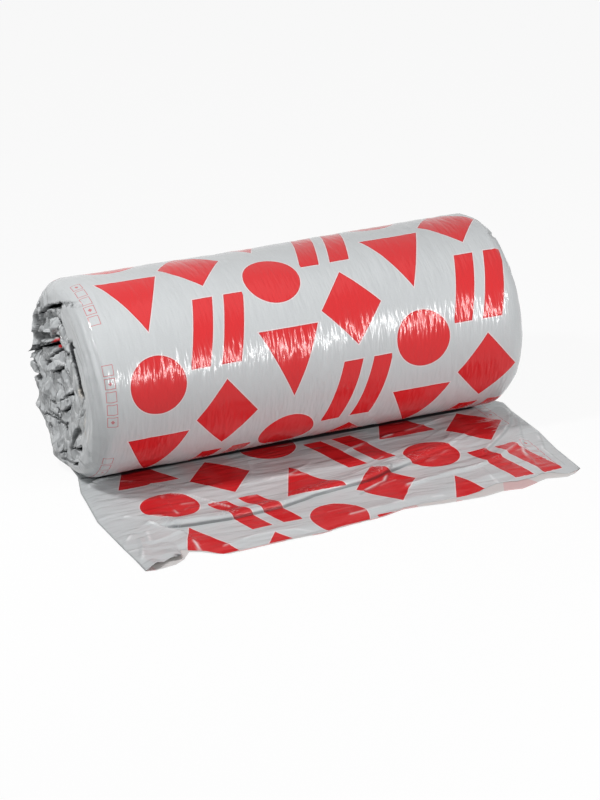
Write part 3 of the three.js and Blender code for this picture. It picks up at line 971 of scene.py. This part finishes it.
class Graph:
    """Short names for adding nodes to a material or a world. A value is a number, a colour or another
    node's output.
    """

    def __init__(self, owner):
        """Turns the owner's nodes on. A material's own shader is kept at hand."""
        owner.use_nodes = True
        self.tree = owner.node_tree
        self.shader = self.tree.nodes.get("Principled BSDF")

    def node(self, kind, **settings):
        """A new node of that kind, with its settings."""
        made = self.tree.nodes.new(kind)
        for key, value in settings.items():
            setattr(made, key, value)
        return made

    def feed(self, value, socket):
        """Puts a value into a socket, as a link where it is another node's output."""
        if hasattr(value, "links"):
            self.tree.links.new(value, socket)
        else:
            socket.default_value = value

    def set(self, name, value):
        """Puts a value into the shader's socket of that name."""
        self.feed(value, self.shader.inputs[name])

    def math(self, operation, *values):
        """The result of one arithmetic operation on the values, in their order."""
        made = self.node("ShaderNodeMath", operation=operation)
        for value, socket in zip(values, made.inputs):
            self.feed(value, socket)
        return made.outputs[0]

    def mix(self, share, first, second):
        """The first colour, blended with that share of the second."""
        made = self.node("ShaderNodeMix", data_type="RGBA")
        sockets = made.inputs["Factor"], made.inputs[6], made.inputs[7]
        for value, socket in zip((share, first, second), sockets):
            self.feed(value, socket)
        return made.outputs[2]

    def between(self, value, low, high, start=0.0, end=1.0):
        """start below low, end above high, and an eased cubic in between."""
        made = self.node("ShaderNodeMapRange", interpolation_type="SMOOTHSTEP")
        for number, source in enumerate((value, low, high, start, end)):
            self.feed(source, made.inputs[number])
        return made.outputs[0]

    def texture(self, kind, coordinates, cells, **settings):
        """A texture node of that kind, with so many cells to the metre along each axis."""
        stretched = self.node("ShaderNodeMapping")
        self.feed(coordinates, stretched.inputs["Vector"])
        self.feed(cells, stretched.inputs["Scale"])
        made = self.node(kind, **settings)
        self.feed(1.0, made.inputs["Scale"])
        self.feed(stretched.outputs[0], made.inputs["Vector"])
        return made

    def noise(self, coordinates, cells, layers=2.0, fading=0.5):
        """Soft noise from 0 to 1 with so many finer layers, each the last one's height times the fading."""
        made = self.texture("ShaderNodeTexNoise", coordinates, cells)
        self.feed(layers, made.inputs["Detail"])
        self.feed(fading, made.inputs["Roughness"])
        return made.outputs[0]

    def facets(self, coordinates, cells):
        """Distance to the sides of Voronoi cells: roofs of flat facets that meet in sharp creases."""
        made = self.texture("ShaderNodeTexVoronoi", coordinates, cells, feature="DISTANCE_TO_EDGE")
        return made.outputs["Distance"]

    def bump(self, height, depth, under=None):
        """The surface's direction on a relief: the height times the depth, on top of the one under it."""
        made = self.node("ShaderNodeBump")
        self.feed(depth, made.inputs["Distance"])
        self.feed(height, made.inputs["Height"])
        if under:
            self.feed(under, made.inputs["Normal"])
        return made.outputs[0]

    def film_place(self):
        """A point's place on the film, and its two parts: along the roll and round it."""
        place = self.node("ShaderNodeUVMap", uv_map="film").outputs[0]
        split = self.node("ShaderNodeSeparateXYZ")
        self.feed(place, split.inputs[0])
        return place, split.outputs[0], split.outputs[1]

    def object_place(self):
        """A point's place on the piece, in metres."""
        return self.node("ShaderNodeTexCoord").outputs["Object"]

    def attribute(self, name):
        """The number that a piece's mesh holds by that name for each point, 0 where it holds none."""
        return self.node("ShaderNodeAttribute", attribute_name=name).outputs["Fac"]


def rgba(colour, level=1.0):
    """A colour multiplied by the level, with full cover as its fourth number."""
    return (*(part * level for part in colour), 1.0)


# Where the print starts, how many columns it has, and its cells' size: seven rows go round the roll.
PRINT_START = -0.447
PRINT_COLUMNS = 6
COLUMN_WIDTH = 0.1563
ROW_HEIGHT = 2 * math.pi * ROLL_RADIUS / 7

# The marks along the film's left edge: distance from one to the next, half a side, and their place along X.
MARK_PITCH = 0.0288
MARK_HALF = 0.0112
MARK_PLACE = -0.4765

# Sizes of the printed shapes: the disc's radius, the triangle's slanted sides and base, the bars' slant, the
# distance of their middle lines from the cell's, their half width and half height, and the diamond's sides. A
# side is given by its outward direction and its place along that.
DISC_RADIUS = 0.064
TRIANGLE_SIDE = (0.911, 0.412, 0.033)
TRIANGLE_BASE = 0.075
BAR_SLANT = 0.28
BAR_OFFSET = 0.036
BAR_HALF_WIDTH = 0.023
BAR_HALF_HEIGHT = 0.078
DIAMOND_SIDE = (0.772, 0.636, 0.055)

# Distances from a printed shape's side between which its ink, its pale outline and its dark rim end or begin.
INK_EDGE = (-0.0004, 0.0004)
HALO_EDGE = (0.0014, 0.0026)
RIM_EDGE = (-0.0022, -0.0004)

# Colours beside those that a user would change: ink of the marks, a painted glint along a crease, dust,
# the painted shade in a fold, and print as it shows through to the film's back.
MARK_INK = (0.55, 0.08, 0.09)
PAINTED_GLINT_WHITE = (0.86, 0.87, 0.88)
DUST = (0.60, 0.50, 0.38)
PAINTED_FOLD_SHADE = (0.012, 0.013, 0.015)
INK_THROUGH = (0.62, 0.24, 0.25)

# The film on the roll and the loose film: how light each is before its mottling, the share of the red that
# its print has, its least roughness and its gloss. The loose film is the same film: its lower lightness and
# red share are painted shade.
FINISHES_AND_SHADE = {"wound": (0.87, 1.0, 0.125, 0.34), "loose": (0.80, 0.88, 0.15, 0.26)}


def beyond_side(graph, x, y, side):
    """Distance outside a straight side: the place along its outward direction, less the side's own."""
    return graph.math("MULTIPLY_ADD", x, side[0], graph.math("MULTIPLY_ADD", y, side[1], -side[2]))


def from_middle(graph, place, size):
    """How far a place, counted in cells of that size, lies from the middle of its cell, in metres."""
    return graph.math("MULTIPLY", graph.math("SUBTRACT", graph.math("FRACT", place), 0.5), size)


def printed_shapes(graph, along, round_place):
    """Distance outside the nearest printed shape, negative inside it.

    The print is a lattice of cells, every other column dropped by half a cell. A cell holds a disc, a pair
    of slanted bars, a triangle or a diamond, by its column and row. The distance from a shape with straight
    sides is the largest of its sides' distances.
    """
    column_place = graph.math("DIVIDE", graph.math("SUBTRACT", along, PRINT_START), COLUMN_WIDTH)
    column = graph.math("FLOOR", column_place)
    drop = graph.math("MULTIPLY", graph.math("FLOORED_MODULO", column, 2.0), 0.5)
    row_place = graph.math("ADD", graph.math("DIVIDE", round_place, ROW_HEIGHT), drop)
    row = graph.math("FLOOR", row_place)
    x = from_middle(graph, column_place, COLUMN_WIDTH)
    y = from_middle(graph, row_place, ROW_HEIGHT)
    wide, tall = graph.math("ABSOLUTE", x), graph.math("ABSOLUTE", y)
    across = graph.math("MULTIPLY_ADD", x, x, graph.math("MULTIPLY", y, y))
    disc = graph.math("SUBTRACT", graph.math("SQRT", across), DISC_RADIUS)
    base = graph.math("MULTIPLY_ADD", y, -1.0, -TRIANGLE_BASE)
    triangle = graph.math("MAXIMUM", beyond_side(graph, wide, y, TRIANGLE_SIDE), base)
    slanted = graph.math("ABSOLUTE", graph.math("MULTIPLY_ADD", y, BAR_SLANT, x))
    from_bar = graph.math("ABSOLUTE", graph.math("SUBTRACT", slanted, BAR_OFFSET))
    strip = graph.math("SUBTRACT", from_bar, BAR_HALF_WIDTH)
    bars = graph.math("MAXIMUM", strip, graph.math("SUBTRACT", tall, BAR_HALF_HEIGHT))
    diamond = beyond_side(graph, wide, tall, DIAMOND_SIDE)
    kind = graph.math("FLOORED_MODULO", graph.math("MULTIPLY_ADD", row, 2.0, column), 4.0)
    chosen = 0.0
    for number, shape in enumerate((disc, bars, triangle, diamond)):
        picked = graph.math("COMPARE", kind, float(number), 0.25)
        chosen = graph.math("MULTIPLY_ADD", picked, shape, chosen)
    before = graph.math("LESS_THAN", column, -0.5)
    after = graph.math("GREATER_THAN", column, PRINT_COLUMNS - 0.5)
    return graph.math("ADD", chosen, graph.math("MAXIMUM", before, after))


def edge_marks(graph, along, round_place):
    """Share of thin red line in the marks along the film's left edge.

    They are small squares, five and then a gap of three. Every third place has a dot in its middle.
    """
    place = graph.math("DIVIDE", round_place, MARK_PITCH)
    number = graph.math("FLOOR", place)
    y = graph.math("ABSOLUTE", from_middle(graph, place, MARK_PITCH))
    x = graph.math("ABSOLUTE", graph.math("SUBTRACT", along, MARK_PLACE))
    square = graph.math("ABSOLUTE", graph.math("SUBTRACT", graph.math("MAXIMUM", x, y), MARK_HALF))
    line = graph.between(square, 0.0005, 0.0011, 1.0, 0.0)
    dot = graph.between(graph.math("ADD", x, y), 0.0045, 0.0052, 1.0, 0.0)
    dotted = graph.math("LESS_THAN", graph.math("FLOORED_MODULO", number, 3.0), 0.5)
    shown = graph.math("LESS_THAN", graph.math("FLOORED_MODULO", number, 8.0), 4.5)
    return graph.math("MULTIPLY", graph.math("MAXIMUM", line, graph.math("MULTIPLY", dot, dotted)), shown)


def body_creases(graph, place, along):
    """The relief of the film on the roll: its direction, its sharp creases, how crushed it is, and the
    noise that picks which creases get painted glints.

    Streaks run round the body. Facets of two sizes crush the ends and, faintly, the shoulders.
    """
    on_end = graph.between(graph.math("ABSOLUTE", along), HALF_LENGTH - 0.02, HALF_LENGTH + 0.03)
    streaks = graph.noise(place, cells=(110.0, 22.0, 1.0), layers=1.0)
    streaks = graph.math("MULTIPLY", streaks, graph.math("SUBTRACT", 1.0, on_end))
    normal = graph.bump(streaks, depth=0.0019)
    body = graph.object_place()
    crushed = graph.attribute("crushed")
    crushed = graph.math("MULTIPLY_ADD", crushed, 0.9, graph.math("MULTIPLY", on_end, 0.1))
    fine = graph.math("MULTIPLY", graph.facets(body, cells=(110.0, 160.0, 80.0)), crushed)
    normal = graph.bump(fine, depth=0.0015, under=normal)
    creases = graph.facets(body, cells=(24.0, 42.0, 19.0))
    normal = graph.bump(graph.math("MULTIPLY", creases, crushed), depth=0.0215, under=normal)
    return normal, creases, crushed, graph.noise(body, cells=(40.0, 40.0, 40.0))


def loose_creases(graph, place):
    """The relief of the loose film, with the same four results.

    It has soft waves and long facets of two sizes, and fine facets where it is crinkled.
    """
    crushed = graph.attribute("crushed")
    normal = graph.bump(graph.noise(place, cells=(40.0, 90.0, 1.0)), depth=0.0005)
    normal = graph.bump(graph.facets(place, cells=(4.5, 26.0, 1.0)), depth=0.0050, under=normal)
    normal = graph.bump(graph.facets(place, cells=(13.0, 60.0, 1.0)), depth=0.0018, under=normal)
    creases = graph.facets(place, cells=(70.0, 150.0, 1.0))
    normal = graph.bump(graph.math("MULTIPLY", creases, crushed), depth=0.0060, under=normal)
    return normal, creases, crushed, graph.noise(place, cells=(30.0, 60.0, 1.0))


def film_material(name, colours, loose):
    """Printed silver film: the print and its pale outline, fibrous mottling, and wrinkles across the pull.

    Colours are laid over each other in this order: silver with the print, the marks, painted glints along
    creases where the film is crushed, dust, painted shade in folds, and print in a pocket.
    """
    # The loose film's lower lightness and red share are painted shade.
    lightness, red_level, roughness, gloss = FINISHES_AND_SHADE["loose" if loose else "wound"]
    material = bpy.data.materials.new(name)
    graph = Graph(material)
    place, along, round_place = graph.film_place()
    edge = printed_shapes(graph, along, round_place)
    ink = graph.between(edge, *INK_EDGE, 1.0, 0.0)
    halo = graph.between(edge, *HALO_EDGE, 1.0, 0.0)
    rim = graph.between(edge, *RIM_EDGE, 0.0, 1.0)
    fibres = graph.noise(place, cells=(420.0, 420.0, 1.0), layers=3.0, fading=0.6)
    cloudy = graph.noise(place, cells=(7.0, 9.0, 1.0))
    shade = graph.math("MULTIPLY_ADD", cloudy, 0.10, lightness)
    shade = graph.math("MULTIPLY_ADD", fibres, 0.16, shade)
    silver = graph.mix(halo, rgba(colours.silver), rgba(colours.halo))
    red = graph.mix(rim, rgba(colours.red, red_level), rgba(colours.red, 0.62))
    printed = graph.mix(ink, silver, red)
    marked = graph.math("MULTIPLY", along, -1.0) if loose else along
    marks = graph.math("MULTIPLY", edge_marks(graph, marked, round_place), 0.75)
    printed = graph.mix(marks, printed, rgba(MARK_INK))
    relief = loose_creases(graph, place) if loose else body_creases(graph, place, along)
    normal, creases, crushed, patches = relief
    # Painted glints: whitish lines along the creases of crushed film and along the loose film's crease
    # ridges.
    painted_glint = graph.math("MULTIPLY", graph.between(creases, 0.0, 0.06, 1.0, 0.0), crushed)
    painted_glint = graph.math("MULTIPLY", painted_glint, graph.between(patches, 0.45, 0.60, 0.0, 0.7))
    painted_glint = graph.math("MAXIMUM", painted_glint, graph.math("MULTIPLY", graph.attribute("painted_glint"), 0.8))
    printed = graph.mix(painted_glint, printed, rgba(PAINTED_GLINT_WHITE))
    if not loose:
        printed = graph.mix(graph.math("MULTIPLY", graph.attribute("dusty"), 0.6), printed, rgba(DUST))
    tinted = graph.node("ShaderNodeVectorMath", operation="SCALE")
    graph.feed(printed, tinted.inputs[0])
    graph.feed(shade, tinted.inputs["Scale"])
    # Painted shade: near black in the gaps of folds, in pockets and in shadow lines, with the gloss taken
    # away.
    painted_shade = graph.between(graph.attribute("painted_shade"), 0.1, 1.0, 0.0, 0.96)
    shaded = graph.mix(painted_shade, tinted.outputs[0], rgba(PAINTED_FOLD_SHADE))
    graph.set("Base Color", graph.mix(graph.attribute("printed"), shaded, rgba(colours.red)))
    graph.set("Normal", graph.bump(fibres, depth=0.00005, under=normal))
    graph.set("Roughness", graph.math("MULTIPLY_ADD", cloudy, 0.08, roughness))
    graph.set("Metallic", 0.0)
    graph.set("Specular IOR Level", graph.between(painted_shade, 0.3, 0.9, gloss, 0.0))
    return material


def film_back_material(colours):
    """The film's unprinted back: dull and pale, with the red of the print showing faintly through."""
    material = bpy.data.materials.new("film_back")
    graph = Graph(material)
    place, along, round_place = graph.film_place()
    through = graph.between(printed_shapes(graph, along, round_place), -0.001, 0.001, 0.45, 0.0)
    graph.set("Base Color", graph.mix(through, rgba(colours.inside), rgba(INK_THROUGH)))
    waves = graph.noise(place, cells=(60.0, 60.0, 1.0), layers=3.0)
    graph.set("Normal", graph.bump(waves, depth=0.001))
    graph.set("Roughness", 0.5)
    return material


def wool_material(colours):
    """Pressed stone wool: matt, with fibres in the wound layers' direction and darker specks of binder."""
    material = bpy.data.materials.new("stone_wool")
    graph = Graph(material)
    place = graph.object_place()
    fibres = graph.noise(place, cells=(900.0, 350.0, 350.0), layers=5.0, fading=0.7)
    clouds = graph.noise(place, cells=(30.0, 30.0, 30.0), layers=3.0)
    share = graph.math("MULTIPLY_ADD", fibres, 0.6, graph.math("MULTIPLY", clouds, 0.4))
    speckled = graph.mix(graph.between(share, 0.3, 0.7), rgba(colours.wool, 0.55), rgba(colours.wool, 1.5))
    graph.set("Base Color", speckled)
    graph.set("Normal", graph.bump(fibres, depth=0.003))
    graph.set("Roughness", 0.95)
    graph.set("Specular IOR Level", 0.15)
    return material


# ---------------------------------------------------------------- operators


class INSULATION_OT_wool_mat(bpy.types.Operator):
    """Add the wound stone wool mat."""

    bl_idname = "insulation.wool_mat"
    bl_label = "Wool mat"

    def execute(self, context):
        scene = context.scene
        piece = build_wool_mat(scene.roll_sizes, [wool_material(scene.film_colours)])
        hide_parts("wool_mat")
        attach(piece, "root")
        return {"FINISHED"}


class INSULATION_OT_film_wrap(bpy.types.Operator):
    """Add the printed film round the roll, with its crumpled ends."""

    bl_idname = "insulation.film_wrap"
    bl_label = "Film round the roll"

    def execute(self, context):
        scene = context.scene
        film = film_material("printed_film", scene.film_colours, loose=False)
        piece = build_film_wrap(scene.roll_sizes, [film])
        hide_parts("film_wrap")
        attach(piece, "root")
        return {"FINISHED"}


class INSULATION_OT_film_tail(bpy.types.Operator):
    """Add the film's empty end, which lies in front of the roll."""

    bl_idname = "insulation.film_tail"
    bl_label = "Loose film end"

    def execute(self, context):
        scene = context.scene
        sizes = scene.tail_sizes
        film = film_material("printed_film_tail", scene.film_colours, loose=True)
        piece = build_film_tail(sizes, [film, film_back_material(scene.film_colours)])
        wall = piece.modifiers.new("film", "SOLIDIFY")
        wall.thickness = sizes.film
        wall.offset = -1.0
        wall.material_offset = 1
        wall.material_offset_rim = 0
        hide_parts("film_tail")
        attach(piece, "root")
        return {"FINISHED"}


# Share of plain white in what the camera sees of the floor, the world's strength as light on the pieces, and
# how far the floor reaches from the middle.
FLOOR_WHITE = 0.92
WORLD_LEVEL = 0.12
FLOOR_REACH = 12.0

# The soft lights: name, place, size, power in watts and turn about their direction, to LAMP_TARGET.
LAMPS = (
    ("front_softbox", (1.45, -3.0, 1.42), (2.6, 0.15), 74.0, 0.5),
    ("top_softbox", (0.4, -0.5, 3.2), (2.4, 1.8), 8.0, 0.0),
    ("left_softbox", (-1.5, -0.3, 2.3), (0.3, 0.3), 35.0, 0.0),
    ("left_strip", (-2.4, -0.2, 1.33), (0.5, 0.12), 8.0, 1.3),
)
LAMP_TARGET = (0, 0, 0.2)

# The camera: what it looks at, from which side and height in degrees, how far off, and its lens and film
# width in millimetres.
CAMERA_TARGET = (0.054, 0.0, 0.072)
CAMERA_SIDE = -24.2
CAMERA_HEIGHT = 24.1
CAMERA_DISTANCE = 6.79
CAMERA_LENS = 135.7
CAMERA_FILM = 36.0


def seen_by_camera(graph):
    """1 for what the camera sees straight, mirrored or through glass, and 0 for light on the pieces."""
    path = graph.node("ShaderNodeLightPath")
    seen = graph.math("MAXIMUM", path.outputs["Is Camera Ray"], path.outputs["Is Glossy Ray"])
    return graph.math("MAXIMUM", seen, path.outputs["Is Transmission Ray"])


def build_floor():
    """A large white square on the ground.

    Its colour is middle grey to the light, so that little of it falls on the pieces, and nearly white to
    the camera, which also sees plain white mixed into it. The rest of it takes the shadows.
    """
    material = bpy.data.materials.new("white_floor")
    graph = Graph(material)
    straight = graph.node("ShaderNodeLightPath").outputs["Is Camera Ray"]
    graph.set("Base Color", graph.mix(straight, rgba((0.4, 0.4, 0.4)), rgba((0.9, 0.9, 0.9))))
    graph.set("Roughness", 0.9)
    graph.set("Specular IOR Level", 0.0)
    glow = graph.node("ShaderNodeEmission")
    graph.feed(1.0, glow.inputs["Strength"])
    mixed = graph.node("ShaderNodeMixShader")
    graph.feed(graph.math("MULTIPLY", seen_by_camera(graph), FLOOR_WHITE), mixed.inputs[0])
    graph.feed(graph.shader.outputs[0], mixed.inputs[1])
    graph.feed(glow.outputs[0], mixed.inputs[2])
    graph.feed(mixed.outputs[0], graph.tree.nodes["Material Output"].inputs["Surface"])
    reach = FLOOR_REACH
    corners = np.array([(-reach, -reach, 0), (reach, -reach, 0), (reach, reach, 0), (-reach, reach, 0)])
    return new_piece("floor", corners, [(0, 1, 2, 3)], None, [material])


def build_world():
    """A white world: at strength 1 where the camera sees it, and at WORLD_LEVEL as light on the pieces."""
    world = bpy.data.worlds.new("studio")
    graph = Graph(world)
    background = graph.tree.nodes["Background"]
    strength = graph.math("MULTIPLY_ADD", seen_by_camera(graph), 1 - WORLD_LEVEL, WORLD_LEVEL)
    graph.feed(strength, background.inputs["Strength"])
    graph.feed(rgba((1, 1, 1)), background.inputs["Color"])
    return world


def build_lamp(name, place, size, power, turn):
    """A rectangular soft light that faces LAMP_TARGET, turned about that direction."""
    data = bpy.data.lights.new(name, "AREA")
    data.shape = "RECTANGLE"
    data.size, data.size_y = size
    data.energy = power
    lamp = bpy.data.objects.new(name, data)
    lamp.location = place
    facing = (Vector(LAMP_TARGET) - Vector(place)).to_track_quat("-Z", "Y")
    lamp.rotation_euler = (facing @ Quaternion((0, 0, 1), turn)).to_euler()
    return lamp


def build_camera():
    """A camera that faces its target from a point on a sphere round it."""
    side, height = math.radians(CAMERA_SIDE), math.radians(CAMERA_HEIGHT)
    level = math.cos(height)
    back = Vector((math.sin(side) * level, -math.cos(side) * level, math.sin(height)))
    data = bpy.data.cameras.new("camera")
    data.lens = CAMERA_LENS
    data.sensor_width = CAMERA_FILM
    camera = bpy.data.objects.new("camera", data)
    camera.location = Vector(CAMERA_TARGET) + back * CAMERA_DISTANCE
    camera.rotation_euler = (-back).to_track_quat("-Z", "Y").to_euler()
    return camera


class INSULATION_OT_stage(bpy.types.Operator):
    """Add the white floor, the soft lights and the camera."""

    bl_idname = "insulation.stage"
    bl_label = "Stage"

    def execute(self, context):
        scene = context.scene
        floor = build_floor()
        scene.world = build_world()
        scene.camera = build_camera()
        for made in (*(build_lamp(*lamp) for lamp in LAMPS), scene.camera):
            scene.collection.objects.link(made)
        scene.view_settings.view_transform = "Standard"
        return {"FINISHED"}


class INSULATION_PT_panel(bpy.types.Panel):
    """Lists the pieces of the roll."""

    bl_label = "Insulation Roll"
    bl_space_type = "VIEW_3D"
    bl_region_type = "UI"
    bl_category = "Insulation"

    def draw(self, context):
        """The sizes and colours first, and below them a button for each operator."""
        for group in GROUPS:
            sizes = getattr(context.scene, group)
            for name in sizes.__annotations__:
                self.layout.prop(sizes, name)
        for operator in OPERATORS:
            self.layout.operator(operator.bl_idname)


OPERATORS = (
    INSULATION_OT_wool_mat,
    INSULATION_OT_film_wrap,
    INSULATION_OT_film_tail,
    INSULATION_OT_stage,
)
GROUPS = {"roll_sizes": RollSizes, "tail_sizes": TailSizes, "film_colours": FilmColours}


def register():
    """Makes the classes known to Blender and gives each scene its sizes and colours."""
    for made in (*GROUPS.values(), *OPERATORS, INSULATION_PT_panel):
        bpy.utils.register_class(made)
    for name, group in GROUPS.items():
        setattr(bpy.types.Scene, name, PointerProperty(type=group))


def unregister():
    """Takes back what register gave, in the opposite order."""
    for name in GROUPS:
        delattr(bpy.types.Scene, name)
    for made in reversed((*GROUPS.values(), *OPERATORS, INSULATION_PT_panel)):
        bpy.utils.unregister_class(made)


def main():
    """Builds the stage and the pieces."""
    register()
    bpy.ops.insulation.stage()
    bpy.ops.insulation.wool_mat()
    bpy.ops.insulation.film_wrap()
    bpy.ops.insulation.film_tail()


if __name__ == "__main__":
    main()
